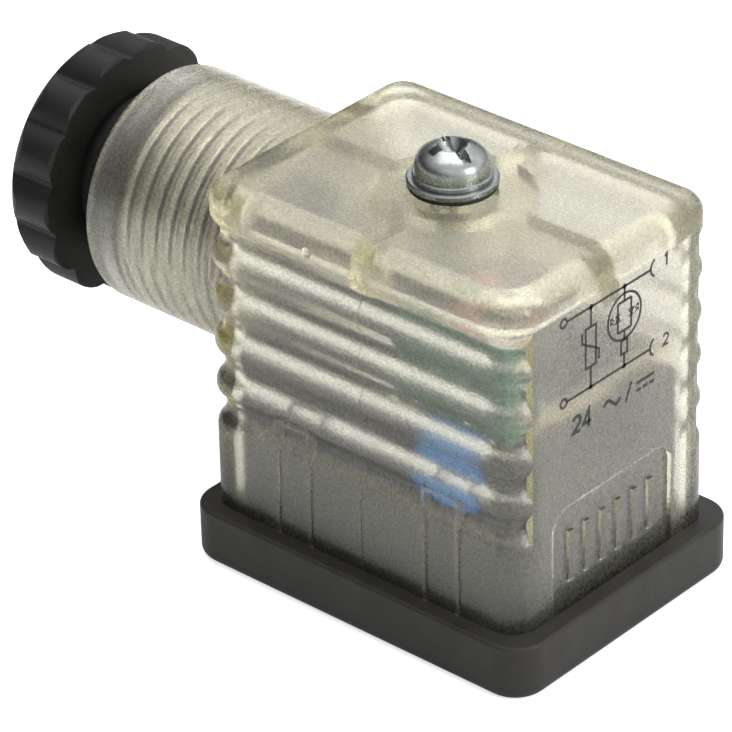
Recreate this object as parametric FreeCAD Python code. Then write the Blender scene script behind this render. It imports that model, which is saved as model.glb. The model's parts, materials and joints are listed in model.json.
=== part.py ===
import FreeCAD
import Part

import math
import os

from FreeCAD import Vector

# Right-angle cable socket for a solenoid valve coil, rectangular type with flat contacts
# on an 18 mm pattern. Millimetres. +Z is up, away from the valve coil. The origin is where
# the fixing screw's axis meets the underside of the base gasket. The cable leaves along -X,
# the printed face looks along +X.

# Base gasket
GASKET_X = 0.4
GASKET_LENGTH = 34.2
GASKET_WIDTH = 26.6
GASKET_HEIGHT = 4.8
GASKET_CORNER = 2.8
GASKET_FLOOR = 1.8
GASKET_ROUNDING = 0.9

# Housing
BODY_X = 0.2
BODY_LENGTH = 31.5
BODY_WIDTH = 23.6
BODY_TOP = 33.3
BODY_CORNER = 2.4
TOP_ROUNDING = 1.6
WALL = 1.6
ROOF = 1.7
CAVITY_CORNER = 2.0

# Waves moulded round three sides of the housing
WAVE_PITCH = 3.8
WAVE_DEPTH = 0.76
WAVE_COUNT = 5
WAVE_START = 11.8
WAVE_END_ANGLE = 80.0

# Stiffening under the roof
RING_OUTER = 6.5
RING_INNER = 4.6
HUB_RADIUS = 3.5
WEB_THICKNESS = 2.0
WEB_DEPTH = 3.0
RIM_WIDTH = 1.0
RIM_DEPTH = 1.5
RIM_CORNER = 2.4

# Mould details on the outside of the housing
PANEL_WIDTH = 14.2
PANEL_TOP = 13.8
PANEL_CORNER = 1.9
PANEL_DEPTH = 0.4
BAR_COUNT = 6
BAR_WIDTH = 0.6
BAR_PITCH = 1.9
BAR_BOTTOM = 6.9
BAR_TOP = 11.4
ARCH_CENTRES = (-6.3, 8.6)
ARCH_WIDTH = 3.6
ARCH_TOP = 15.1
ARCH_LINE = 0.3
ARCH_RELIEF = 0.18
SEAM_WIDTH = 0.14
SEAM_RELIEF = 0.1
GATE_X = -4.3
GATE_Z = 31.0
GATE_RADIUS = 0.65

# Cable neck
NECK_RADIUS = 9.83
NECK_AXIS = 23.22
NECK_RIM = -29.8
NECK_ROUNDING = 0.4
LEAD_RADIUS = 8.2
LEAD_LENGTH = 2.3
GLAND_PITCH = 1.5
NECK_THREAD_ROOT = 7.85
NECK_THREAD_CREST = 7.2
NECK_THREAD_TURNS = 8
SHOULDER_X = -15.5
ENTRY_RADIUS = 4.6

# Gland nut
NUT_FACE = -33.45
NUT_END = -38.25
NUT_PEAK = 10.5
NUT_VALLEY = 9.65
NUT_LOBES = 14
NUT_FIRST_GROOVE = 13.0
NUT_CREASE_ROUNDING = 0.45
NUT_NEAR_ROUNDING = 0.5
NUT_FAR_ROUNDING = 2.0
NUT_SHANK_END = -23.85
NUT_SHANK_CREST = 7.1
NUT_SHANK_ROOT = 6.4
NUT_BORE = 4.3
RING_THICKNESS = 1.0
RING_RADIUS = 7.05
SEAL_START = -19.8
SEAL_RADIUS = 7.1
CABLE_RADIUS = 3.5

# Fixing screw, M3, with its washer and rubber ring
SCREW_RADIUS = 1.5
SCREW_WAIST = 1.25
SCREW_THREAD_TOP = 6.3
SCREW_TIP = 0.3
SCREW_PITCH = 0.5
SCREW_HEAD_RADIUS = 2.9
SCREW_HEAD_HEIGHT = 2.2
RECESS_ANGLE = -20.0
TOP_RING_RADIUS = 3.42
TOP_RING_THICKNESS = 0.35
WASHER_RADIUS = 3.55
WASHER_THICKNESS = 0.5
WASHER_HOLE = 1.6
SPRING_RADIUS = 3.1
SPRING_THICKNESS = 0.42
SPRING_GAP = 0.3
SPRING_GAP_ANGLE = 130.0

# Contact carrier and contacts for flat tabs of 6.3 x 0.8 mm
CARRIER_TOP = 19.0
CARRIER_BOTTOM = 0.5
CARRIER_GAP = 0.1
CARRIER_NOSE_X = 12.0
CARRIER_NOSE_WIDTH = 16.8
CARRIER_BORE = 1.75
CONTACT_OFFSET = 9.0
TAB_WIDTH = 6.3
TAB_THICKNESS = 0.8
LEAF_THICKNESS = 0.35
LEAF_HALF_WIDTH = 2.9
LEAF_BOTTOM = 1.7
PLATE_BOTTOM = 11.6
PLATE_TOP = 12.8
PLATE_INNER = 3.8
TERMINAL_RADIUS = 6.4
POCKET_HALF_WIDTH = 3.1
POCKET_FLOOR = 11.5
CLAMP_BOTTOM = 15.0
CLAMP_TOP = 15.9
CLAMP_OUTER = 9.0
CLAMP_HALF_WIDTH = 2.8
TERMINAL_HEAD_RADIUS = 2.6
TERMINAL_HEAD_HEIGHT = 2.1
TERMINAL_TIP = 10.6

# Circuit board and its components
BOARD_X = (2.9, 13.4)
BOARD_Y = (-9.6, -8.6)
BOARD_Z = (20.0, 28.6)
LEAD_WIRE = 0.3
VARISTOR_X = 7.6
VARISTOR_Y = -8.2
VARISTOR_Z = 15.5
VARISTOR_RADIUS = 3.6
VARISTOR_THICKNESS = 3.0
VARISTOR_PITCH = 5.0
VARISTOR_LEAD_TOP = 21.2
LED_X = 8.6
LED_Y = -6.6
LED_BASE = 25.8
LED_RADIUS = 1.5
LED_FLANGE = 1.9
LED_TOP = 30.4
LED_PITCH = 2.54
LED_LEAD_BEND = 24.6
RESISTOR_X = (4.2, 9.2)
RESISTOR_Y = -7.2
RESISTOR_Z = 22.9
RESISTOR_RADIUS = 1.1
LINK_THICKNESS = 0.6
LINK_WIDTH = 0.8
LINK_TOP = 20.0

X_AXIS = Vector(1, 0, 0)
Y_AXIS = Vector(0, 1, 0)
Z_AXIS = Vector(0, 0, 1)
ORIGIN = Vector(0, 0, 0)


# ---------------------------------------------------------------- plain shapes

def box(x_range, y_range, z_range):
    """Box between the given limits."""
    low = Vector(x_range[0], y_range[0], z_range[0])
    size = [span[1] - span[0] for span in (x_range, y_range, z_range)]
    return Part.makeBox(size[0], size[1], size[2], low)


def centred(middle, width):
    """Limits of a span of this width about its middle."""
    return (middle - width / 2, middle + width / 2)


def rod(radius, start, end):
    """Round bar from one point to another."""
    along = end - start
    return Part.makeCylinder(radius, along.Length, start, along)


def rod_z(radius, z_low, z_high, x=0.0, y=0.0):
    """Upright round bar."""
    return rod(radius, Vector(x, y, z_low), Vector(x, y, z_high))


def rod_x(radius, x_low, x_high):
    """Round bar on the cable axis."""
    return rod(radius, Vector(x_low, 0, NECK_AXIS), Vector(x_high, 0, NECK_AXIS))


def rounded_block(x_range, y_range, z_range, corner):
    """Box with its upright edges rounded."""
    block = box(x_range, y_range, z_range)
    upright = [edge for edge in block.Edges if abs(edge.tangentAt(edge.FirstParameter).z) > 0.99]
    return block.makeFillet(corner, upright)


def edges_at(shape, z):
    """Edges that lie in the level plane at height z."""
    return [edge for edge in shape.Edges
            if abs(edge.BoundBox.ZMin - z) < 1e-4 and abs(edge.BoundBox.ZMax - z) < 1e-4]


def turned(points, axis_point, axis):
    """Solid of revolution of a closed outline."""
    outline = Part.makePolygon(points + [points[0]])
    return Part.Face(outline).revolve(axis_point, axis, 360)


def turned_x(outline):
    """Solid turned about the cable axis from (x, radius) pairs."""
    points = [Vector(x, 0, NECK_AXIS + radius) for x, radius in outline]
    return turned(points, Vector(0, 0, NECK_AXIS), X_AXIS)


def turned_z(outline):
    """Solid turned about the screw axis from (radius, z) pairs."""
    return turned([Vector(radius, 0, z) for radius, z in outline], ORIGIN, Z_AXIS)


def ridge_row(start, turns, pitch, base, peak):
    """(position, radius) pairs of a thread's rings: flats at base and at peak, one of each per pitch."""
    outline = []
    for turn in range(turns):
        place = start + turn * pitch
        outline += [(place, base), (place + 0.2 * pitch, peak), (place + 0.5 * pitch, peak),
                    (place + 0.7 * pitch, base)]
    return outline + [(start + turns * pitch, base)]


def write(name, shape):
    """Save one piece as parts/NAME.step."""
    solids = [solid.removeSplitter() for solid in shape.Solids]
    result = solids[0] if len(solids) == 1 else Part.makeCompound(solids)
    result.exportStep(os.path.join("parts", name + ".step"))


# ---------------------------------------------------------------- gasket

def base_gasket():
    """Rubber frame of L section that wraps the foot of the housing."""
    outside = rounded_block(centred(GASKET_X, GASKET_LENGTH), centred(0, GASKET_WIDTH),
                            (0, GASKET_HEIGHT), GASKET_CORNER)
    outside = outside.makeFillet(GASKET_ROUNDING, edges_at(outside, 0))
    outside = outside.makeFillet(GASKET_ROUNDING / 3, edges_at(outside, GASKET_HEIGHT))
    seat = rounded_block(centred(BODY_X, BODY_LENGTH + 0.04), centred(0, BODY_WIDTH + 0.04),
                         (GASKET_FLOOR, GASKET_HEIGHT + 1), BODY_CORNER)
    window = rounded_block(centred(BODY_X, BODY_LENGTH - 2 * WALL), centred(0, BODY_WIDTH - 2 * WALL),
                           (-1, GASKET_FLOOR + 1), CAVITY_CORNER)
    return outside.cut([seat, window])


# ---------------------------------------------------------------- housing

def wave_face():
    """Face of the wave cutter: u points out of the wall along X, and z is the height."""
    half = WAVE_DEPTH / 2
    quarter = WAVE_PITCH / 4
    radius = (quarter ** 2 + half ** 2) / (2 * half)
    crest_mid = math.sqrt(radius ** 2 - (quarter / 2) ** 2) - radius
    edges = []
    for wave in range(WAVE_COUNT):
        low = WAVE_START + wave * WAVE_PITCH
        high = low + WAVE_PITCH
        inner_low = Vector(-half, 0, low + quarter)
        inner_high = Vector(-half, 0, high - quarter)
        valley = Vector(-WAVE_DEPTH, 0, (low + high) / 2)
        edges.append(Part.Arc(Vector(0, 0, low), Vector(crest_mid, 0, low + quarter / 2), inner_low))
        edges.append(Part.Arc(inner_low, valley, inner_high))
        edges.append(Part.Arc(inner_high, Vector(crest_mid, 0, high - quarter / 2), Vector(0, 0, high)))
    top = WAVE_START + WAVE_COUNT * WAVE_PITCH
    outer = [Vector(0, 0, top), Vector(1, 0, top), Vector(1, 0, WAVE_START), Vector(0, 0, WAVE_START)]
    shapes = [edge.toShape() for edge in edges] + Part.makePolygon(outer).Edges
    return Part.Face(Part.Wire(Part.__sortEdges__(shapes)))


def wave_cutters():
    """Straight and corner pieces of the wave, right round except the printed face."""
    half_x = BODY_LENGTH / 2 - BODY_CORNER
    half_y = BODY_WIDTH / 2 - BODY_CORNER
    corners = [(half_x, half_y, 90 - WAVE_END_ANGLE, WAVE_END_ANGLE),
               (-half_x, half_y, 90, 90),
               (-half_x, -half_y, 180, 90),
               (half_x, -half_y, 270, WAVE_END_ANGLE)]
    cutters = []
    for x, y, start, sweep in corners:
        centre = Vector(BODY_X + x, y, 0)
        face = wave_face()
        face.translate(Vector(BODY_CORNER, 0, 0))
        face.rotate(ORIGIN, Z_AXIS, start)
        face.translate(centre)
        cutters.append(face.revolve(centre, Z_AXIS, sweep))
    sides = [(half_x, BODY_WIDTH / 2, 90, Vector(-2 * half_x, 0, 0)),
             (-BODY_LENGTH / 2, half_y, 180, Vector(0, -2 * half_y, 0)),
             (-half_x, -BODY_WIDTH / 2, 270, Vector(2 * half_x, 0, 0))]
    for x, y, direction, run in sides:
        face = wave_face()
        face.rotate(ORIGIN, Z_AXIS, direction)
        face.translate(Vector(BODY_X + x, y, 0))
        cutters.append(face.extrude(run))
    return cutters


def neck_bore():
    """Space inside the cable neck: plain lead-in, thread and the hole into the body."""
    thread_start = NECK_RIM + LEAD_LENGTH
    outline = [(NECK_RIM - 1, 0), (NECK_RIM - 1, LEAD_RADIUS), (thread_start, LEAD_RADIUS)]
    outline += ridge_row(thread_start, NECK_THREAD_TURNS, GLAND_PITCH, NECK_THREAD_CREST,
                         NECK_THREAD_ROOT)
    outline += [(SHOULDER_X, NECK_THREAD_CREST), (SHOULDER_X, ENTRY_RADIUS)]
    outline += [(SHOULDER_X + 4, ENTRY_RADIUS), (SHOULDER_X + 4, 0)]
    return turned_x(outline)


def roof_stiffening(cavity):
    """Ring, hub, four webs and a rim along the walls, under the roof."""
    low = BODY_TOP - ROOF - WEB_DEPTH
    high = BODY_TOP - ROOF + 0.5
    ring = rod_z(RING_OUTER, low, high).cut(rod_z(RING_INNER, low, high))
    hub = rod_z(HUB_RADIUS, low, high)
    long_web = box((-BODY_LENGTH, BODY_LENGTH), centred(0, WEB_THICKNESS), (low, high))
    cross_web = box(centred(0, WEB_THICKNESS), (-BODY_WIDTH, BODY_WIDTH), (low, high))
    webs = long_web.fuse(cross_web).cut(rod_z(RING_INNER, low, high))
    inset = 2 * (WALL + RIM_WIDTH)
    rim = box(centred(BODY_X, BODY_LENGTH), centred(0, BODY_WIDTH), (high - 0.5 - RIM_DEPTH, high))
    rim = rim.cut(rounded_block(centred(BODY_X, BODY_LENGTH - inset), centred(0, BODY_WIDTH - inset),
                                (low - 1, high + 1), RIM_CORNER))
    room = cavity.copy()
    room.translate(Vector(0, 0, 0.5))
    return ring.fuse([hub, webs, rim]).common(room)


def name_panel():
    """Recess low on the printed face, with a row of plain bars left standing in it."""
    outer_x = BODY_X + BODY_LENGTH / 2
    depth = (outer_x - PANEL_DEPTH, outer_x + 1)
    recess = box(depth, centred(-0.4, PANEL_WIDTH), (0, PANEL_TOP))
    upper = [edge for edge in recess.Edges
             if edge.BoundBox.ZMin > PANEL_TOP - 0.1 and edge.BoundBox.YLength < 0.1]
    recess = recess.makeFillet(PANEL_CORNER, upper)
    bars = []
    for index in range(BAR_COUNT):
        middle = -0.4 + (index - (BAR_COUNT - 1) / 2) * BAR_PITCH
        bars.append(box((depth[0] - 0.1, depth[0] + 0.25), centred(middle, BAR_WIDTH),
                        (BAR_BOTTOM, BAR_TOP)))
    return recess.cut(bars)


def arch_outline(centre, side):
    """Fine raised line in the shape of an upturned U on one long side."""
    face = side * BODY_WIDTH / 2
    depth = sorted((face - side * 1.2, face + side * ARCH_RELIEF))
    outer = box(centred(centre, ARCH_WIDTH), depth, (GASKET_FLOOR + 0.5, ARCH_TOP))
    inner = box(centred(centre, ARCH_WIDTH - 2 * ARCH_LINE), (depth[0] - 1, depth[1] + 1),
                (0, ARCH_TOP - ARCH_LINE))
    above_gasket = box(centred(centre, ARCH_WIDTH + 1), (depth[0] - 1, depth[1] + 1),
                       (GASKET_HEIGHT + 0.05, BODY_TOP))
    return outer.cut(inner).common(above_gasket)


def parting_seam(side):
    """Hair line down one long side where the mould halves met; it follows the waves."""
    face = side * BODY_WIDTH / 2
    depth = sorted((face - side * 1.2, face + side * SEAM_RELIEF))
    low = GASKET_HEIGHT + 0.05
    strip = box(centred(0.5, SEAM_WIDTH), depth, (low, WAVE_START + WAVE_COUNT * WAVE_PITCH))
    cutter = wave_face()
    cutter.rotate(ORIGIN, Z_AXIS, 90 * side)
    cutter.translate(Vector(0.5 + side, face + side * SEAM_RELIEF, 0))
    return strip.cut(cutter.extrude(Vector(-2 * side, 0, 0)))


def housing():
    """Clear moulded shell with the cable neck."""
    shell = rounded_block(centred(BODY_X, BODY_LENGTH), centred(0, BODY_WIDTH),
                          (GASKET_FLOOR, BODY_TOP), BODY_CORNER)
    shell = shell.makeFillet(TOP_ROUNDING, edges_at(shell, BODY_TOP))
    shell = shell.cut(wave_cutters())
    neck = rod_x(NECK_RADIUS, NECK_RIM, BODY_X - BODY_LENGTH / 2 + WALL)
    rim = [edge for edge in neck.Edges if edge.BoundBox.XMax < NECK_RIM + 0.1]
    shell = shell.fuse(neck.makeFillet(NECK_ROUNDING, rim))
    details = [parting_seam(side) for side in (-1, 1)]
    details += [arch_outline(centre, side) for centre in ARCH_CENTRES for side in (-1, 1)]
    details.append(Part.makeSphere(GATE_RADIUS, Vector(GATE_X, -BODY_WIDTH / 2 + 0.45, GATE_Z)))
    shell = shell.fuse(details)
    cavity = rounded_block(centred(BODY_X, BODY_LENGTH - 2 * WALL), centred(0, BODY_WIDTH - 2 * WALL),
                           (GASKET_FLOOR - 1, BODY_TOP - ROOF), CAVITY_CORNER)
    shell = shell.cut([cavity, neck_bore(), name_panel()])
    shell = shell.fuse(roof_stiffening(cavity))
    return shell.cut(rod_z(CARRIER_BORE, 0, BODY_TOP + 1))


# ---------------------------------------------------------------- cable gland

def lobed_outline():
    """Closed outline of the nut's grip: round lobes that meet in creases."""
    step = 360 / NUT_LOBES
    edges = []

    def place(angle, radius):
        turn = math.radians(angle)
        return Vector(0, radius * math.cos(turn), NECK_AXIS + radius * math.sin(turn))

    for lobe in range(NUT_LOBES):
        groove = NUT_FIRST_GROOVE + lobe * step
        start = place(groove, NUT_VALLEY)
        end = place(groove + step, NUT_VALLEY)
        edges.append(Part.Arc(start, place(groove + step / 2, NUT_PEAK), end).toShape())
    return Part.Wire(edges)


def nut_rounding():
    """Round bar that softens the grip's two rims: a little near the neck, more at the far end."""
    bar = rod_x(NUT_PEAK + 0.05, NUT_END, NUT_FACE)
    for rim, radius in ((NUT_END, NUT_FAR_ROUNDING), (NUT_FACE, NUT_NEAR_ROUNDING)):
        edges = [edge for edge in bar.Edges
                 if edge.BoundBox.XLength < 0.01 and abs(edge.BoundBox.XMin - rim) < 0.01]
        bar = bar.makeFillet(radius, edges)
    return bar


def gland_nut():
    """Lobed black nut whose threaded shank runs into the neck."""
    grip = Part.Face(lobed_outline()).extrude(Vector(NUT_END - NUT_FACE, 0, 0))
    grip.translate(Vector(NUT_FACE, 0, 0))
    creases = [edge for edge in grip.Edges if edge.BoundBox.XLength > 1]
    grip = grip.makeFillet(NUT_CREASE_ROUNDING, creases).common(nut_rounding())
    turns = int((NUT_SHANK_END - NUT_FACE - 0.6) / GLAND_PITCH)
    start = NUT_SHANK_END - turns * GLAND_PITCH
    outline = [(NUT_FACE - 0.5, 0), (NUT_FACE - 0.5, NUT_SHANK_ROOT), (start - 0.05, NUT_SHANK_ROOT)]
    outline += ridge_row(start, turns, GLAND_PITCH, NUT_SHANK_ROOT, NUT_SHANK_CREST)
    outline.append((NUT_SHANK_END, 0))
    bore = turned_x([(NUT_END - 1, 0), (NUT_END - 1, NUT_BORE + 2.0), (NUT_END + 1.2, NUT_BORE),
                     (NUT_SHANK_END - 1.2, NUT_BORE), (NUT_SHANK_END + 0.1, NUT_BORE + 1.0),
                     (NUT_SHANK_END + 0.1, 0)])
    return grip.fuse(turned_x(outline)).cut(bore)


def pressure_ring():
    """Slip ring between the turning nut and the rubber cable seal."""
    start = NUT_SHANK_END + 0.02
    ring = rod_x(RING_RADIUS, start, start + RING_THICKNESS)
    ring = ring.makeChamfer(0.2, [edge for edge in ring.Edges if edge.BoundBox.XLength < 0.01])
    return ring.cut(rod_x(NUT_BORE, start - 1, start + 2))


def cable_seal():
    """Rubber sleeve that grips the cable, with grooves round it."""
    groove = 0.5
    length = SHOULDER_X - 0.02 - SEAL_START
    outline = [(SEAL_START, CABLE_RADIUS + 0.5), (SEAL_START, SEAL_RADIUS - 0.6),
               (SEAL_START + 0.6, SEAL_RADIUS)]
    for share in (0.4, 0.7):
        middle = SEAL_START + share * length
        outline += [(middle - groove, SEAL_RADIUS), (middle, SEAL_RADIUS - groove),
                    (middle + groove, SEAL_RADIUS)]
    end = SEAL_START + length
    outline += [(end, SEAL_RADIUS), (end, CABLE_RADIUS), (SEAL_START + 0.5, CABLE_RADIUS)]
    return turned_x(outline)


# ---------------------------------------------------------------- fixing screw

def recess_cutter(top, reach, depth, width):
    """Tapered cross with a slot laid over one arm, sunk from the top of a screw head."""
    low = top - depth
    cross = box(centred(0, 2 * reach), centred(0, width), (low, top + 1))
    cross = cross.fuse(box(centred(0, width), centred(0, 2 * reach), (low, top + 1)))
    cone = Part.makeCone(0.35 * reach, 1.15 * reach, depth, Vector(0, 0, low))
    well = Part.makeCone(0.3 * reach, 0.55 * reach, depth, Vector(0, 0, low))
    slot = box((-10, 10), centred(0, 0.8 * width), (top - 0.5 * depth, top + 1))
    return cross.common(cone).fuse([well, slot])


def pan_head(radius, bottom, height):
    """Pan screw head: a short upright side, a well rounded shoulder and a slightly domed top."""
    side = bottom + 0.15 * height
    top = bottom + height
    dome = Part.BSplineCurve()
    dome.interpolate(Points=[Vector(radius, 0, side), Vector(0.88 * radius, 0, bottom + 0.65 * height),
                             Vector(0.55 * radius, 0, bottom + 0.92 * height), Vector(0, 0, top)],
                     InitialTangent=Z_AXIS, FinalTangent=-X_AXIS)
    outline = Part.makePolygon([Vector(0, 0, top), Vector(0, 0, bottom), Vector(radius, 0, bottom),
                                Vector(radius, 0, side)])
    head = Part.Face(Part.Wire(outline.Edges + [dome.toShape()])).revolve(ORIGIN, Z_AXIS, 360)
    return head.cut(recess_cutter(top, 0.74 * radius, 0.55 * height, 0.3 * radius))


def fixing_screw():
    """Long captive M3 screw with a combined slot and cross recess."""
    under_head = BODY_TOP + TOP_RING_THICKNESS + WASHER_THICKNESS + SPRING_THICKNESS
    turns = int((SCREW_THREAD_TOP - SCREW_TIP) / SCREW_PITCH)
    start = SCREW_THREAD_TOP - turns * SCREW_PITCH
    outline = [(0, SCREW_TIP - 0.1), (SCREW_WAIST - 0.15, SCREW_TIP - 0.1)]
    outline += [(radius, z) for z, radius in ridge_row(start, turns, SCREW_PITCH, SCREW_WAIST,
                                                       SCREW_RADIUS)]
    outline += [(SCREW_WAIST, under_head + 0.3), (0, under_head + 0.3)]
    shank = turned_z(outline)
    head = pan_head(SCREW_HEAD_RADIUS, under_head, SCREW_HEAD_HEIGHT)
    head.rotate(ORIGIN, Z_AXIS, RECESS_ANGLE)
    return shank.fuse(head)


def soft_ring(inner, outer, low, high, edge):
    """Flat ring about the screw axis with its outer edges broken."""
    return turned_z([(inner, low), (outer - edge / 2, low), (outer, low + edge), (outer, high - edge),
                     (outer - edge, high), (inner, high)])


def screw_washer():
    """Flat washer on the rubber ring."""
    low = BODY_TOP + TOP_RING_THICKNESS
    return soft_ring(WASHER_HOLE, WASHER_RADIUS, low, low + WASHER_THICKNESS, 0.12)


def spring_washer():
    """Split ring between the flat washer and the screw head."""
    low = BODY_TOP + TOP_RING_THICKNESS + WASHER_THICKNESS
    high = low + SPRING_THICKNESS
    ring = soft_ring(WASHER_HOLE, SPRING_RADIUS, low, high, 0.1)
    split = box((0, SPRING_RADIUS + 1), centred(0, SPRING_GAP), (low - 1, high + 1))
    split.rotate(ORIGIN, Z_AXIS, SPRING_GAP_ANGLE)
    return ring.cut(split)


def screw_seal():
    """Rubber ring under the washer."""
    low = BODY_TOP
    high = low + TOP_RING_THICKNESS
    return turned_z([(WASHER_HOLE, low), (TOP_RING_RADIUS, low),
                     (TOP_RING_RADIUS + 0.08, (low + high) / 2), (TOP_RING_RADIUS, high),
                     (WASHER_HOLE, high)])


# ---------------------------------------------------------------- carrier and contacts

def around(shape, angle):
    """The shape turned about the screw axis."""
    result = shape.copy()
    result.rotate(ORIGIN, Z_AXIS, angle)
    return result


def terminal_pocket():
    """Room for one contact, its clamp and its screw, at the +X place."""
    leaf = TAB_THICKNESS / 2 + LEAF_THICKNESS + 0.15
    width = centred(0, 2 * POCKET_HALF_WIDTH)
    fork = box((CONTACT_OFFSET - leaf, CONTACT_OFFSET + leaf), width,
               (LEAF_BOTTOM - 0.1, POCKET_FLOOR + 0.5))
    terminal = box((PLATE_INNER - 0.2, CONTACT_OFFSET + leaf), width, (POCKET_FLOOR, CARRIER_TOP + 1))
    tail = rod_z(SCREW_RADIUS + 0.2, 8.0, POCKET_FLOOR + 0.5, TERMINAL_RADIUS)
    slot = box(centred(CONTACT_OFFSET, TAB_THICKNESS + 0.4), centred(0, TAB_WIDTH + 0.3),
               (CARRIER_BOTTOM - 1, LEAF_BOTTOM))
    return fork.fuse([terminal, tail, slot])


def contact_carrier():
    """Black block that holds the three contacts and guides the fixing screw."""
    back = BODY_X - BODY_LENGTH / 2 + WALL + CARRIER_GAP
    front = BODY_X + BODY_LENGTH / 2 - WALL - CARRIER_GAP
    width = BODY_WIDTH - 2 * WALL - 2 * CARRIER_GAP
    height = (CARRIER_BOTTOM, CARRIER_TOP)
    block = rounded_block((back, CARRIER_NOSE_X), centred(0, width), height, CAVITY_CORNER - 0.1)
    nose = rounded_block((CARRIER_NOSE_X - 5, front), centred(0, CARRIER_NOSE_WIDTH), height, 0.6)
    block = block.fuse(nose)
    pockets = [around(terminal_pocket(), angle) for angle in (0, 90, -90)]
    blind_slot = box(centred(-CONTACT_OFFSET, TAB_THICKNESS + 0.4), centred(0, TAB_WIDTH + 0.3), (0, 9.0))
    wiring_room = box((back + 1.0, -3.9), centred(0, width - 2.4), (POCKET_FLOOR, CARRIER_TOP + 1))
    wire_ways = [box((-4.5, 0), centred(side * TERMINAL_RADIUS, 5.2), (PLATE_TOP + 0.1, CARRIER_TOP + 1))
                 for side in (-1, 1)]
    front_notch = box((CONTACT_OFFSET, front + 1), centred(0, 7.4), (14.5, CARRIER_TOP + 1))
    half = VARISTOR_RADIUS + 0.2
    varistor_room = box((VARISTOR_X - half, VARISTOR_X + half), (-BODY_WIDTH, -6.2),
                        (VARISTOR_Z - half - 0.2, CARRIER_TOP + 1))
    cuts = pockets + wire_ways + [blind_slot, wiring_room, front_notch, varistor_room]
    return block.cut(cuts).cut(rod_z(CARRIER_BORE, 0, CARRIER_TOP + 1))


def contact():
    """Two spring leaves for a flat tab, and the plate that the wire is clamped to."""
    near = CONTACT_OFFSET - TAB_THICKNESS / 2
    far = CONTACT_OFFSET + TAB_THICKNESS / 2
    width = centred(0, 2 * LEAF_HALF_WIDTH)
    leaves = [box((near - LEAF_THICKNESS, near), width, (LEAF_BOTTOM, PLATE_BOTTOM)),
              box((far, far + LEAF_THICKNESS), width, (LEAF_BOTTOM, PLATE_BOTTOM))]
    plate = box((PLATE_INNER, far + LEAF_THICKNESS), width, (PLATE_BOTTOM, PLATE_TOP))
    relief = [box((near - 1, far + 1), centred(0, 0.9), (LEAF_BOTTOM - 1, PLATE_BOTTOM - 3))]
    hole = rod_z(SCREW_RADIUS + 0.05, PLATE_BOTTOM - 1, PLATE_TOP + 1, TERMINAL_RADIUS)
    return plate.fuse(leaves).cut(relief + [hole])


def terminal_clamp():
    """Square clamping plate under the terminal screw's head, ribbed to grip the wire."""
    reach = (PLATE_INNER, CLAMP_OUTER)
    plate = box(reach, centred(0, 2 * CLAMP_HALF_WIDTH), (CLAMP_BOTTOM, CLAMP_TOP))
    ribs = [box(reach, centred(offset, 0.4), (CLAMP_BOTTOM - 1, CLAMP_BOTTOM + 0.2))
            for offset in (-2.1, 2.1)]
    return plate.cut(ribs).cut(rod_z(SCREW_RADIUS + 0.1, CLAMP_BOTTOM - 1, CLAMP_TOP + 1, TERMINAL_RADIUS))


def terminal_screw():
    """M3 terminal screw with a domed head."""
    screw = pan_head(TERMINAL_HEAD_RADIUS, CLAMP_TOP, TERMINAL_HEAD_HEIGHT)
    screw = screw.fuse(rod_z(SCREW_RADIUS, TERMINAL_TIP, CLAMP_TOP + 0.3))
    screw.translate(Vector(TERMINAL_RADIUS, 0, 0))
    return screw


# ---------------------------------------------------------------- circuit board

def bent_lead(x, y, z_start, z_bend):
    """Upright wire that turns at z_bend and runs out through the board."""
    corner = Vector(x, y, z_bend)
    upright = rod(LEAD_WIRE, Vector(x, y, z_start), corner)
    through = rod(LEAD_WIRE, corner, Vector(x, BOARD_Y[0] - 0.35, z_bend))
    return upright.fuse([through, Part.makeSphere(LEAD_WIRE, corner)])


def varistor_leads():
    return [bent_lead(VARISTOR_X + side * VARISTOR_PITCH / 2, VARISTOR_Y, VARISTOR_Z, VARISTOR_LEAD_TOP)
            for side in (-1, 1)]


def led_leads():
    return [bent_lead(LED_X + side * LED_PITCH / 2, LED_Y, LED_BASE + 0.8, LED_LEAD_BEND)
            for side in (-1, 1)]


def resistor_leads():
    """Two leads of the resistor, each along its axis and then through the board."""
    leads = []
    for body_end, bend in ((RESISTOR_X[0] + 0.5, RESISTOR_X[0] - 0.7),
                           (RESISTOR_X[1] - 0.5, RESISTOR_X[1] + 0.7)):
        corner = Vector(bend, RESISTOR_Y, RESISTOR_Z)
        along = rod(LEAD_WIRE, Vector(body_end, RESISTOR_Y, RESISTOR_Z), corner)
        through = rod(LEAD_WIRE, corner, Vector(bend, BOARD_Y[0] - 0.35, RESISTOR_Z))
        leads.append(along.fuse([through, Part.makeSphere(LEAD_WIRE, corner)]))
    return leads


def circuit_board():
    """Upright board with a hole for each component lead."""
    board = box(BOARD_X, BOARD_Y, BOARD_Z)
    return board.cut(varistor_leads() + led_leads() + resistor_leads())


def varistor():
    """Round coated disc on edge, with a collar of coating at each lead."""
    low = Vector(VARISTOR_X, VARISTOR_Y - VARISTOR_THICKNESS / 2, VARISTOR_Z)
    disc = Part.makeCylinder(VARISTOR_RADIUS, VARISTOR_THICKNESS, low, Y_AXIS)
    disc = disc.makeFillet(1.1, [edge for edge in disc.Edges if edge.BoundBox.YLength < 0.01])
    collars = [rod_z(0.65, VARISTOR_Z, VARISTOR_Z + VARISTOR_RADIUS - 0.2,
                     VARISTOR_X + side * VARISTOR_PITCH / 2, VARISTOR_Y) for side in (-1, 1)]
    return disc.fuse(collars).cut(varistor_leads())


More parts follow.
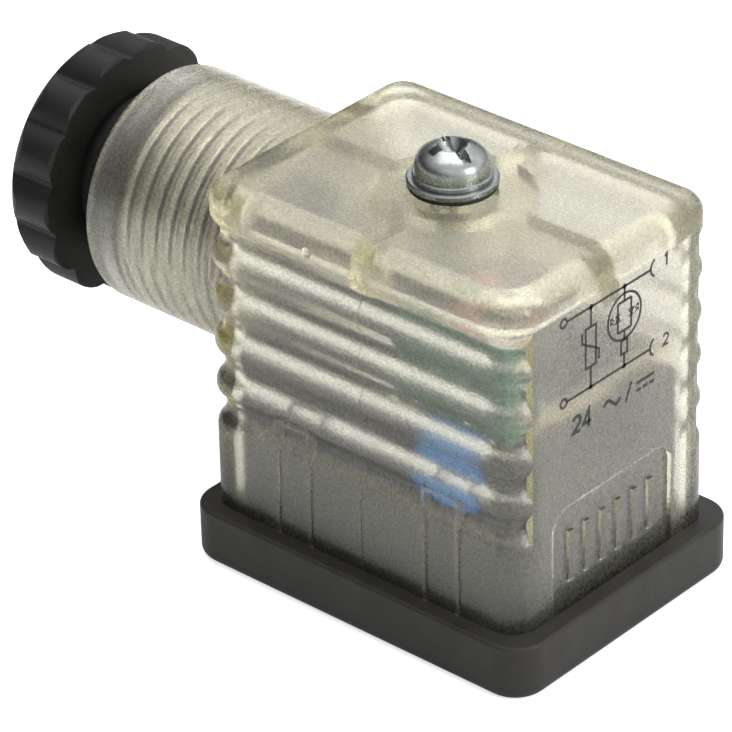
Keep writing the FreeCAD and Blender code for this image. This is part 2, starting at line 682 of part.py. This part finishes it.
def indicator_led():
    """Round lamp body with a flange and a domed end."""
    body = rod_z(LED_RADIUS, LED_BASE, LED_TOP - LED_RADIUS, LED_X, LED_Y)
    dome = Part.makeSphere(LED_RADIUS, Vector(LED_X, LED_Y, LED_TOP - LED_RADIUS))
    flange = rod_z(LED_FLANGE, LED_BASE, LED_BASE + 1.0, LED_X, LED_Y)
    return body.fuse([dome, flange]).cut(led_leads())


def series_resistor():
    """Axial resistor body, thicker at both ends."""
    start = Vector(RESISTOR_X[0], RESISTOR_Y, RESISTOR_Z)
    end = Vector(RESISTOR_X[1], RESISTOR_Y, RESISTOR_Z)
    body = rod(RESISTOR_RADIUS - 0.15, start, end)
    caps = []
    for face, inward in ((start, X_AXIS), (end, -X_AXIS)):
        cap = rod(RESISTOR_RADIUS, face, face + inward * 1.3)
        caps.append(cap.makeFillet(0.3, [edge for edge in cap.Edges if edge.BoundBox.XLength < 0.01]))
    return body.fuse(caps).cut(resistor_leads())


def board_link(side):
    """Brass strip from the board's lower edge to contact 1 (side -1) or contact 2 (side 1)."""
    foot_x = (LEAF_HALF_WIDTH - LINK_WIDTH, LEAF_HALF_WIDTH)
    outer = side * (CONTACT_OFFSET + TAB_THICKNESS / 2 + LEAF_THICKNESS)
    wall_y = sorted((outer, outer - side * 0.4))
    level = (LINK_TOP - LINK_THICKNESS, LINK_TOP)
    post = box(foot_x, wall_y, (PLATE_TOP, LINK_TOP))
    if side < 0:
        return post.fuse(box((foot_x[0], foot_x[0] + 3.0), wall_y, level))
    front = (BOARD_X[1] - 2 * LINK_WIDTH, BOARD_X[1] - LINK_WIDTH)
    along = box((foot_x[0], front[1]), wall_y, level)
    across = box(front, (BOARD_Y[0] + 0.2, wall_y[1]), level)
    return post.fuse([along, across])


# ---------------------------------------------------------------- output

def build():
    """Write every piece."""
    os.makedirs("parts", exist_ok=True)
    write("base_gasket", base_gasket())
    write("housing", housing())
    write("gland_nut", gland_nut())
    write("pressure_ring", pressure_ring())
    write("cable_seal", cable_seal())
    write("fixing_screw", fixing_screw())
    write("screw_washer", screw_washer())
    write("spring_washer", spring_washer())
    write("screw_seal", screw_seal())
    write("contact_carrier", contact_carrier())
    for place, angle in (("1", -90), ("2", 90), ("earth", 0)):
        write("contact_" + place, around(contact(), angle))
        write("terminal_clamp_" + place, around(terminal_clamp(), angle))
        write("terminal_screw_" + place, around(terminal_screw(), angle))
    write("circuit_board", circuit_board())
    write("varistor", varistor())
    write("indicator_led", indicator_led())
    write("series_resistor", series_resistor())
    write("component_leads", Part.makeCompound(varistor_leads() + led_leads() + resistor_leads()))
    write("board_link_1", board_link(-1))
    write("board_link_2", board_link(1))


build()
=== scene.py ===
import json
import math

import bmesh
import bpy
from mathutils import Matrix, Vector


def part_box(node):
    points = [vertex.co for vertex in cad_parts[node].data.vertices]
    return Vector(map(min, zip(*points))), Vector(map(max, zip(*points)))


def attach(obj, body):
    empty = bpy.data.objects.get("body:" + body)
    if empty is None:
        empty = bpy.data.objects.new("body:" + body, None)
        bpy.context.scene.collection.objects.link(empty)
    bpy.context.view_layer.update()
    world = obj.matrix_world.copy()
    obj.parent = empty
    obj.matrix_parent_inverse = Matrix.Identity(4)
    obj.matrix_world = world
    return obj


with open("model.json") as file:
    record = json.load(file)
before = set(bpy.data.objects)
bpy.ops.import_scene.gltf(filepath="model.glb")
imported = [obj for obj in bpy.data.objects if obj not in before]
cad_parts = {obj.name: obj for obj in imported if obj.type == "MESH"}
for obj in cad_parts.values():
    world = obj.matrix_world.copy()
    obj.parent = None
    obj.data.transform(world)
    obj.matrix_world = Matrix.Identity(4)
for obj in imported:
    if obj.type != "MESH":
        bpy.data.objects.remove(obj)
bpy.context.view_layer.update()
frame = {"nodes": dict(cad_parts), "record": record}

MM = 0.001
PATCHES_PER_MM = 0.35


# ---------------------------------------------------------------- node helpers

class Nodes:
    """A material's node tree, with short calls for the nodes that the materials share."""

    def __init__(self, name):
        self.material = bpy.data.materials.new(name)
        self.material.use_nodes = True
        self.tree = self.material.node_tree
        self.tree.nodes.clear()
        self.output = self.tree.nodes.new("ShaderNodeOutputMaterial")
        place = self.tree.nodes.new("ShaderNodeTexCoord")
        scaled = self.tree.nodes.new("ShaderNodeVectorMath")
        scaled.operation = "SCALE"
        scaled.inputs["Scale"].default_value = 1 / MM
        self.link(place.outputs["Object"], scaled.inputs[0])
        self.millimetres = scaled.outputs[0]

    def link(self, source, target):
        self.tree.links.new(source, target)

    def node(self, kind, **inputs):
        """A new node; each input is a value or another node's output."""
        made = self.tree.nodes.new(kind)
        for key, value in inputs.items():
            self.set(made, key.replace("_", " "), value)
        return made

    def set(self, made, key, value):
        if isinstance(value, bpy.types.NodeSocket):
            self.link(value, made.inputs[key])
        else:
            made.inputs[key].default_value = value

    def noise(self, per_mm, detail=2.0, roughness=0.5):
        """Noise with this many features per millimetre."""
        made = self.node("ShaderNodeTexNoise", Scale=per_mm, Detail=detail, Roughness=roughness,
                         Vector=self.millimetres)
        return made.outputs["Fac"]

    def ramp(self, value, low, high, out_low=0.0, out_high=1.0):
        """Value mapped from low..high to out_low..out_high, clamped."""
        made = self.tree.nodes.new("ShaderNodeMapRange")
        self.link(value, made.inputs["Value"])
        limits = {"From Min": low, "From Max": high, "To Min": out_low, "To Max": out_high}
        for key, number in limits.items():
            made.inputs[key].default_value = number
        return made.outputs["Result"]

    def blend(self, factor, first, second):
        """Colour between first and second."""
        made = self.tree.nodes.new("ShaderNodeMix")
        made.data_type = "RGBA"
        self.link(factor, made.inputs["Factor"])
        for socket, value in ((made.inputs[6], first), (made.inputs[7], second)):
            if isinstance(value, bpy.types.NodeSocket):
                self.link(value, socket)
            else:
                socket.default_value = (*value, 1.0)
        return made.outputs[2]

    def bump(self, height, strength, depth_mm):
        """Surface normal that follows the height."""
        made = self.node("ShaderNodeBump", Height=height, Strength=strength, Distance=depth_mm * MM)
        return made.outputs["Normal"]

    def surface(self, shader):
        self.link(shader, self.output.inputs["Surface"])
        return self.material


def solid_material(name, dark, light, rough, grain_per_mm, grain_depth, metallic=0.0, specular=0.5):
    """Opaque finish: two close colours in soft patches, a moulded or worn grain, uneven gloss."""
    n = Nodes(name)
    patches = n.ramp(n.noise(PATCHES_PER_MM, 4.0, 0.6), 0.35, 0.65)
    grain = n.noise(grain_per_mm, 3.0, 0.6)
    shader = n.node("ShaderNodeBsdfPrincipled", Metallic=metallic,
                    Base_Color=n.blend(patches, dark, light),
                    Roughness=n.ramp(grain, 0.3, 0.7, rough[0], rough[1]),
                    Normal=n.bump(grain, 0.5, grain_depth), Specular_IOR_Level=specular)
    return n.surface(shader.outputs[0])


# ---------------------------------------------------------------- materials

def frosted_clear():
    """Clear polycarbonate with a pebbled, sparkling skin and a yellow tint in its depth."""
    n = Nodes("frosted_clear")
    pebble = n.noise(4.4, 2.0, 0.6)
    swell = n.noise(0.5, 2.0, 0.5)
    tone = n.blend(n.ramp(pebble, 0.42, 0.58), (0.88, 0.875, 0.87), (1.0, 0.995, 0.985))
    clear = n.node("ShaderNodeBsdfPrincipled", Base_Color=tone, IOR=1.585,
                   Roughness=n.ramp(swell, 0.3, 0.7, 0.08, 0.16), Transmission_Weight=1.0,
                   Normal=n.bump(pebble, 0.4, 0.06))
    rough = n.node("ShaderNodeBsdfPrincipled", Base_Color=tone, IOR=1.585, Roughness=0.32,
                   Transmission_Weight=1.0, Normal=n.bump(pebble, 1.0, 0.12))
    frosted = n.node("ShaderNodeMixShader", Fac=n.ramp(pebble, 0.42, 0.58, 0.25, 0.34))
    n.link(clear.outputs[0], frosted.inputs[1])
    n.link(rough.outputs[0], frosted.inputs[2])
    haze = n.node("ShaderNodeBsdfTranslucent", Color=(0.92, 0.91, 0.86, 1))
    skin = n.node("ShaderNodeBsdfDiffuse", Color=(0.90, 0.89, 0.84, 1))
    cloud = n.node("ShaderNodeMixShader", Fac=0.5)
    n.link(haze.outputs[0], cloud.inputs[1])
    n.link(skin.outputs[0], cloud.inputs[2])
    body = n.node("ShaderNodeMixShader", Fac=n.ramp(pebble, 0.48, 0.60, 0.0, 0.035))
    n.link(frosted.outputs[0], body.inputs[1])
    n.link(cloud.outputs[0], body.inputs[2])
    through = n.node("ShaderNodeBsdfTransparent", Color=(0.87, 0.87, 0.84, 1))
    path = n.tree.nodes.new("ShaderNodeLightPath")
    final = n.node("ShaderNodeMixShader", Fac=path.outputs["Is Shadow Ray"])
    n.link(body.outputs[0], final.inputs[1])
    n.link(through.outputs[0], final.inputs[2])
    depth = n.node("ShaderNodeVolumeAbsorption", Color=(0.95, 0.91, 0.62, 1), Density=120.0)
    n.link(depth.outputs[0], n.output.inputs["Volume"])
    return n.surface(final.outputs[0])


def zinc_plate():
    """Bright zinc plate: fine turning lines, soft patches, a cool tint."""
    n = Nodes("zinc_plate")
    patches = n.ramp(n.noise(0.8, 3.0, 0.6), 0.3, 0.7)
    scratches = n.noise(6.0, 4.0, 0.7)
    shader = n.node("ShaderNodeBsdfPrincipled", Metallic=1.0,
                    Base_Color=n.blend(patches, (0.27, 0.29, 0.29), (0.37, 0.39, 0.38)),
                    Roughness=n.ramp(scratches, 0.3, 0.7, 0.20, 0.36),
                    Normal=n.bump(scratches, 0.25, 0.02))
    return n.surface(shader.outputs[0])


def tinted_lamp():
    """Red tinted clear epoxy with a faint swirl."""
    n = Nodes("tinted_lamp")
    swirl = n.ramp(n.noise(1.2, 3.0, 0.6), 0.3, 0.7)
    shader = n.node("ShaderNodeBsdfPrincipled", IOR=1.5, Transmission_Weight=0.85,
                    Base_Color=n.blend(swirl, (0.92, 0.48, 0.45), (0.97, 0.62, 0.58)),
                    Roughness=n.ramp(swirl, 0.0, 1.0, 0.08, 0.16))
    return n.surface(shader.outputs[0])


def banded_resistor():
    """Beige lacquer with colour bands along the body."""
    n = Nodes("banded_resistor")
    low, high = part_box("series_resistor")
    parts = n.node("ShaderNodeSeparateXYZ", Vector=n.millimetres)
    along = n.ramp(parts.outputs["X"], low.x / MM, high.x / MM)
    colour = n.blend(n.ramp(n.noise(1.0, 3.0), 0.3, 0.7), (0.66, 0.52, 0.34), (0.74, 0.61, 0.43))
    for middle, band in ((0.16, (0.45, 0.08, 0.05)), (0.36, (0.02, 0.02, 0.02)), (0.52, (0.70, 0.22, 0.03)),
                         (0.82, (0.55, 0.40, 0.10))):
        away = n.node("ShaderNodeMath")
        away.operation = "SUBTRACT"
        n.link(along, away.inputs[0])
        away.inputs[1].default_value = middle
        size = n.node("ShaderNodeMath")
        size.operation = "ABSOLUTE"
        n.link(away.outputs[0], size.inputs[0])
        colour = n.blend(n.ramp(size.outputs[0], 0.045, 0.055, 1.0, 0.0), colour, band)
    shader = n.node("ShaderNodeBsdfPrincipled", Base_Color=colour, Roughness=0.35,
                    Normal=n.bump(n.noise(8.0), 0.2, 0.02))
    return n.surface(shader.outputs[0])


MATERIALS = {
    "clear_housing": frosted_clear(),
    "gasket_rubber": solid_material("gasket_rubber", (0.016, 0.015, 0.014), (0.022, 0.021, 0.019),
                                    (0.38, 0.55), 7.0, 0.02, specular=0.3),
    "seal_rubber": solid_material("seal_rubber", (0.008, 0.008, 0.008), (0.014, 0.014, 0.014),
                                  (0.5, 0.65), 8.0, 0.02, specular=0.25),
    "black_nylon": solid_material("black_nylon", (0.005, 0.005, 0.005), (0.009, 0.009, 0.008),
                                  (0.42, 0.58), 5.0, 0.03, specular=0.3),
    "zinc_steel": zinc_plate(),
    "tinned_brass": solid_material("tinned_brass", (0.62, 0.56, 0.40), (0.76, 0.72, 0.60), (0.2, 0.38),
                                   6.0, 0.01, metallic=1.0),
    "board_green": solid_material("board_green", (0.001, 0.06, 0.026), (0.003, 0.10, 0.05), (0.2, 0.35),
                                  4.0, 0.02),
    "varistor_blue": solid_material("varistor_blue", (0.01, 0.24, 0.80), (0.02, 0.32, 0.90), (0.15, 0.3),
                                    2.0, 0.03),
    "led_red": tinted_lamp(),
    "resistor_beige": banded_resistor(),
    "lead_wire": solid_material("lead_wire", (0.6, 0.6, 0.6), (0.75, 0.75, 0.74), (0.2, 0.35), 9.0, 0.01,
                                metallic=1.0),
}
PRINT_INK = solid_material("print_ink", (0.004, 0.004, 0.005), (0.012, 0.012, 0.013), (0.5, 0.7), 9.0, 0.01)


def dress_cad_nodes():
    """Gives each CAD node the material of its slot in the record."""
    for entry in frame["record"]["subparts"]:
        node = frame["nodes"][entry["node"]]
        node.data.materials.clear()
        node.data.materials.append(MATERIALS[entry["material_slot"]])


# ---------------------------------------------------------------- printed circuit

# Places on the printed face are (y, z) in millimetres.
FACE_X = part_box("housing")[1].x
INK_THICKNESS = 0.02 * MM
LINE = 0.2
FINE_LINE = 0.1
BOLD_LINE = 0.26
RAIL_TOP = 29.95
RAIL_BOTTOM = 23.1
RAIL_START = -5.94
RAIL_END = 3.9
PLUG_RADIUS = 0.36
SOCKET_RADIUS = 0.78
LIMITER_Y = -3.14
LIMITER_Z = (24.87, 28.26)
LAMP_Y = 0.8
LAMP_SIDES = (0.02, 1.6)
LAMP_Z = (26.2, 28.7)
RING_Z = 27.4
RING_RADIUS = 1.95
RESISTOR_Z = (24.2, 25.35)
RATING_Z = 19.8
RATING_HEIGHT = 1.5


def ribbon(mesh, points, width=LINE, closed=False):
    """Thin strip of ink along (y, z) points in millimetres, mitred at its bends."""
    path = [Vector(point) for point in points]
    count = len(path)
    rims = []
    for index, point in enumerate(path):
        before = path[index - 1] if index > 0 or closed else None
        after = path[(index + 1) % count] if index < count - 1 or closed else None
        directions = []
        if before is not None:
            directions.append((point - before).normalized())
        if after is not None:
            directions.append((after - point).normalized())
        mean = sum(directions, Vector((0, 0))).normalized()
        side = Vector((-mean.y, mean.x))
        stretch = 1 / max(0.4, mean.dot(directions[0]))
        rims.append([point + side * width / 2 * stretch, point - side * width / 2 * stretch])
    layers = []
    for x in (FACE_X - INK_THICKNESS / 2, FACE_X + INK_THICKNESS):
        layers.append([[mesh.verts.new((x, rim.x * MM, rim.y * MM)) for rim in pair] for pair in rims])
    low, high = layers
    spans = range(count if closed else count - 1)
    for index in spans:
        following = (index + 1) % count
        mesh.faces.new((high[index][0], high[index][1], high[following][1], high[following][0]))
        mesh.faces.new((low[index][1], low[index][0], low[following][0], low[following][1]))
        for side in (0, 1):
            mesh.faces.new((low[index][side], high[index][side], high[following][side],
                            low[following][side]))
    if not closed:
        for index in (0, count - 1):
            mesh.faces.new((low[index][0], low[index][1], high[index][1], high[index][0]))


def arc(centre, radius, start, end, steps=20):
    """Points of an arc in degrees."""
    turns = [math.radians(start + (end - start) * step / steps) for step in range(steps + 1)]
    return [(centre[0] + radius * math.cos(turn), centre[1] + radius * math.sin(turn)) for turn in turns]


def loop(mesh, centre, radius, steps=40, width=LINE):
    ribbon(mesh, arc(centre, radius, 0, 360, steps)[:-1], width, closed=True)


def rectangle(mesh, y_range, z_range):
    (left, right), (low, high) = y_range, z_range
    ribbon(mesh, [(left, low), (right, low), (right, high), (left, high)], closed=True)


def dot(mesh, y, z):
    loop(mesh, (y, z), 0.12, 12)


def lamp_symbol(mesh, middle, up):
    """Small diode triangle with its bar and one light arrow."""
    y, z = middle
    outward = -1 if up else 1
    size = 0.28
    tip = size if up else -size
    ribbon(mesh, [(y - size, z - tip), (y + size, z - tip), (y, z + tip)], 0.11, closed=True)
    ribbon(mesh, [(y - size, z + tip), (y + size, z + tip)], 0.11)
    for lift in (0.05, -0.3):
        start = (y + outward * 0.42, z + lift)
        end = (y + outward * 0.85, z + lift + 0.28)
        ribbon(mesh, [start, end], FINE_LINE)
        ribbon(mesh, [(end[0] - outward * 0.22, end[1]), end, (end[0], end[1] - 0.2)], FINE_LINE)


def numeral(mesh, digit, y, z, height, width):
    """One numeral with its lower left corner at (y, z)."""
    wide = 0.56 * height
    if digit == 1:
        ribbon(mesh, [(y + 0.1 * height, z + 0.78 * height), (y + 0.34 * height, z + height),
                      (y + 0.34 * height, z)], width)
    if digit == 2:
        radius = wide / 2
        top = arc((y + radius, z + height - radius), radius, 165, -40, 14)
        ribbon(mesh, top + [(y, z + width / 2), (y + wide, z + width / 2)], width)
    if digit == 4:
        ribbon(mesh, [(y + 0.78 * wide, z), (y + 0.78 * wide, z + height), (y, z + 0.3 * height),
                      (y + wide * 1.1, z + 0.3 * height)], width)


def riser(mesh, y, low, high):
    """Straight line of the circuit from one height to another."""
    ribbon(mesh, [(y, high), (y, low)])


def rails(mesh):
    """Two rails, each with a plug ring, a socket arc and two branch dots."""
    for z in (RAIL_TOP, RAIL_BOTTOM):
        loop(mesh, (RAIL_START - PLUG_RADIUS, z), PLUG_RADIUS, 24)
        ribbon(mesh, [(RAIL_START, z), (RAIL_END, z)])
        ribbon(mesh, arc((RAIL_END + SOCKET_RADIUS, z), SOCKET_RADIUS, 115, 245))
        for y in (LIMITER_Y, LAMP_Y):
            dot(mesh, y, z)
    numeral(mesh, 1, 5.45, RAIL_TOP - 0.4, 1.05, 0.18)
    numeral(mesh, 2, 5.5, RAIL_BOTTOM - 0.5, 1.05, 0.18)


def surge_limiter(mesh):
    """Box with a bent line across it, on the left branch."""
    low, high = LIMITER_Z
    riser(mesh, LIMITER_Y, high, RAIL_TOP)
    rectangle(mesh, (LIMITER_Y - 0.6, LIMITER_Y + 0.6), LIMITER_Z)
    riser(mesh, LIMITER_Y, RAIL_BOTTOM, low)
    ribbon(mesh, [(-4.15, 28.1), (-4.15, 27.2), (-2.2, 26.0), (-2.2, 25.1)])


def lamp_branch(mesh):
    """Ringed pair of opposed lamps above their resistor, on the right branch."""
    low, high = LAMP_Z
    left, right = LAMP_SIDES
    riser(mesh, LAMP_Y, high, RAIL_TOP)
    for z in (high, low):
        ribbon(mesh, [(left, z), (right, z)])
    for y in (left, right):
        riser(mesh, y, low, high)
    lamp_symbol(mesh, (left, (low + high) / 2), True)
    lamp_symbol(mesh, (right, (low + high) / 2), False)
    loop(mesh, (LAMP_Y, RING_Z), RING_RADIUS)
    riser(mesh, LAMP_Y, RESISTOR_Z[1], low)
    rectangle(mesh, (LAMP_Y - 0.38, LAMP_Y + 0.38), RESISTOR_Z)
    riser(mesh, LAMP_Y, RAIL_BOTTOM, RESISTOR_Z[0])


def rating(mesh):
    """The number 24 and the signs for alternating and direct current."""
    numeral(mesh, 2, -5.2, RATING_Z, RATING_HEIGHT, 0.3)
    numeral(mesh, 4, -4.0, RATING_Z, RATING_HEIGHT, 0.3)
    wave = [(-1.6 + 0.1 * step, 20.55 + 0.34 * math.sin(2 * math.pi * step / 20)) for step in range(21)]
    ribbon(mesh, wave, BOLD_LINE)
    ribbon(mesh, [(1.0, RATING_Z), (1.7, RATING_Z + RATING_HEIGHT)], 0.22)
    ribbon(mesh, [(2.3, 20.85), (4.4, 20.85)], BOLD_LINE)
    for dash in range(3):
        ribbon(mesh, [(2.3 + 0.78 * dash, 20.2), (2.84 + 0.78 * dash, 20.2)], BOLD_LINE)


def printed_circuit():
    """Circuit sign on the +X face: two rails, a surge limiter, a two-way lamp and its resistor."""
    mesh = bmesh.new()
    rails(mesh)
    surge_limiter(mesh)
    lamp_branch(mesh)
    rating(mesh)
    bmesh.ops.recalc_face_normals(mesh, faces=mesh.faces)
    data = bpy.data.meshes.new("printed_circuit")
    mesh.to_mesh(data)
    mesh.free()
    piece = bpy.data.objects.new("printed_circuit", data)
    bpy.context.scene.collection.objects.link(piece)
    piece.data.materials.append(PRINT_INK)
    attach(piece, "plug_body")


# ---------------------------------------------------------------- stage

def floor():
    """Wide pale floor that shows as plain white to the camera."""
    data = bpy.data.meshes.new("floor")
    half = 1.5
    data.from_pydata([(-half, -half, 0), (half, -half, 0), (half, half, 0), (-half, half, 0)], [],
                     [(0, 1, 2, 3)])
    piece = bpy.data.objects.new("floor", data)
    bpy.context.scene.collection.objects.link(piece)
    n = Nodes("pale_floor")
    tone = n.blend(n.noise(0.01), (0.88, 0.88, 0.88), (0.9, 0.9, 0.9))
    paper = n.node("ShaderNodeBsdfDiffuse", Color=tone)
    path = n.tree.nodes.new("ShaderNodeLightPath")
    glow = n.ramp(path.outputs["Is Camera Ray"], 0.0, 1.0, 0.0, 0.6)
    lift = n.node("ShaderNodeEmission", Strength=glow)
    total = n.tree.nodes.new("ShaderNodeAddShader")
    n.link(paper.outputs[0], total.inputs[0])
    n.link(lift.outputs[0], total.inputs[1])
    data.materials.append(n.surface(total.outputs[0]))


def area_light(name, place_mm, aim_mm, size_mm, power):
    data = bpy.data.lights.new(name, "AREA")
    data.shape = "RECTANGLE"
    data.size = size_mm[0] * MM
    data.size_y = size_mm[1] * MM
    data.energy = power
    piece = bpy.data.objects.new(name, data)
    bpy.context.scene.collection.objects.link(piece)
    piece.location = Vector(place_mm) * MM
    aim = Vector(aim_mm) * MM - piece.location
    piece.rotation_euler = aim.to_track_quat("-Z", "Y").to_euler()


def studio():
    """Surroundings bright overhead and to the right, dark low on the left, with three soft lights."""
    world = bpy.data.worlds.new("studio")
    world.use_nodes = True
    tree = world.node_tree
    place = tree.nodes.new("ShaderNodeTexCoord")
    toward = tree.nodes.new("ShaderNodeVectorMath")
    toward.operation = "DOT_PRODUCT"
    toward.inputs[1].default_value = (0.42, 0.12, 0.90)
    tree.links.new(place.outputs["Generated"], toward.inputs[0])
    bright = tree.nodes.new("ShaderNodeMapRange")
    bright.interpolation_type = "SMOOTHSTEP"
    for key, number in (("From Min", -0.1), ("From Max", 0.85), ("To Min", 0.12), ("To Max", 1.35)):
        bright.inputs[key].default_value = number
    tree.links.new(toward.outputs["Value"], bright.inputs["Value"])
    cloth = tree.nodes.new("ShaderNodeTexNoise")
    cloth.inputs["Scale"].default_value = 1.6
    tree.links.new(place.outputs["Generated"], cloth.inputs["Vector"])
    uneven = tree.nodes.new("ShaderNodeMapRange")
    for key, number in (("From Min", 0.4), ("From Max", 0.6), ("To Min", 0.75), ("To Max", 1.15)):
        uneven.inputs[key].default_value = number
    tree.links.new(cloth.outputs["Fac"], uneven.inputs["Value"])
    product = tree.nodes.new("ShaderNodeMath")
    product.operation = "MULTIPLY"
    tree.links.new(bright.outputs["Result"], product.inputs[0])
    tree.links.new(uneven.outputs["Result"], product.inputs[1])
    background = tree.nodes["Background"]
    background.inputs["Color"].default_value = (1, 1, 1, 1)
    tree.links.new(product.outputs[0], background.inputs["Strength"])
    bpy.context.scene.world = world
    middle = (-6, 0, 18)
    area_light("top_light", (-40, 60, 320), middle, (260, 200), 0.45)
    area_light("right_light", (300, 40, 150), middle, (120, 200), 0.45)
    area_light("back_light", (-190, 210, 190), middle, (240, 160), 0.09)
    bpy.context.scene.view_settings.view_transform = "Standard"


def camera():
    """Camera above the corner between the long side and the printed face."""
    azimuth = math.radians(42.06)
    elevation = math.radians(30.94)
    roll = math.radians(-1.37)
    distance = 386.13
    sideways = -7.50
    upward = 15.01
    origin = Vector((0.38, 0, 0))
    back = Vector((math.sin(azimuth) * math.cos(elevation), -math.cos(azimuth) * math.cos(elevation),
                   math.sin(elevation)))
    level = Vector((math.cos(azimuth), math.sin(azimuth), 0))
    upright = back.cross(level)
    right = math.cos(roll) * level + math.sin(roll) * upright
    up = math.cos(roll) * upright - math.sin(roll) * level
    data = bpy.data.cameras.new("camera")
    data.sensor_width = 36
    data.lens = 241.28
    data.clip_start = 0.01
    data.clip_end = 10
    piece = bpy.data.objects.new("camera", data)
    bpy.context.scene.collection.objects.link(piece)
    turn = Matrix((right, up, back)).transposed().to_4x4()
    place = origin + back * distance + right * sideways + up * upward
    piece.matrix_world = Matrix.Translation(place * MM) @ turn
    bpy.context.scene.camera = piece


dress_cad_nodes()
printed_circuit()
floor()
studio()
camera()
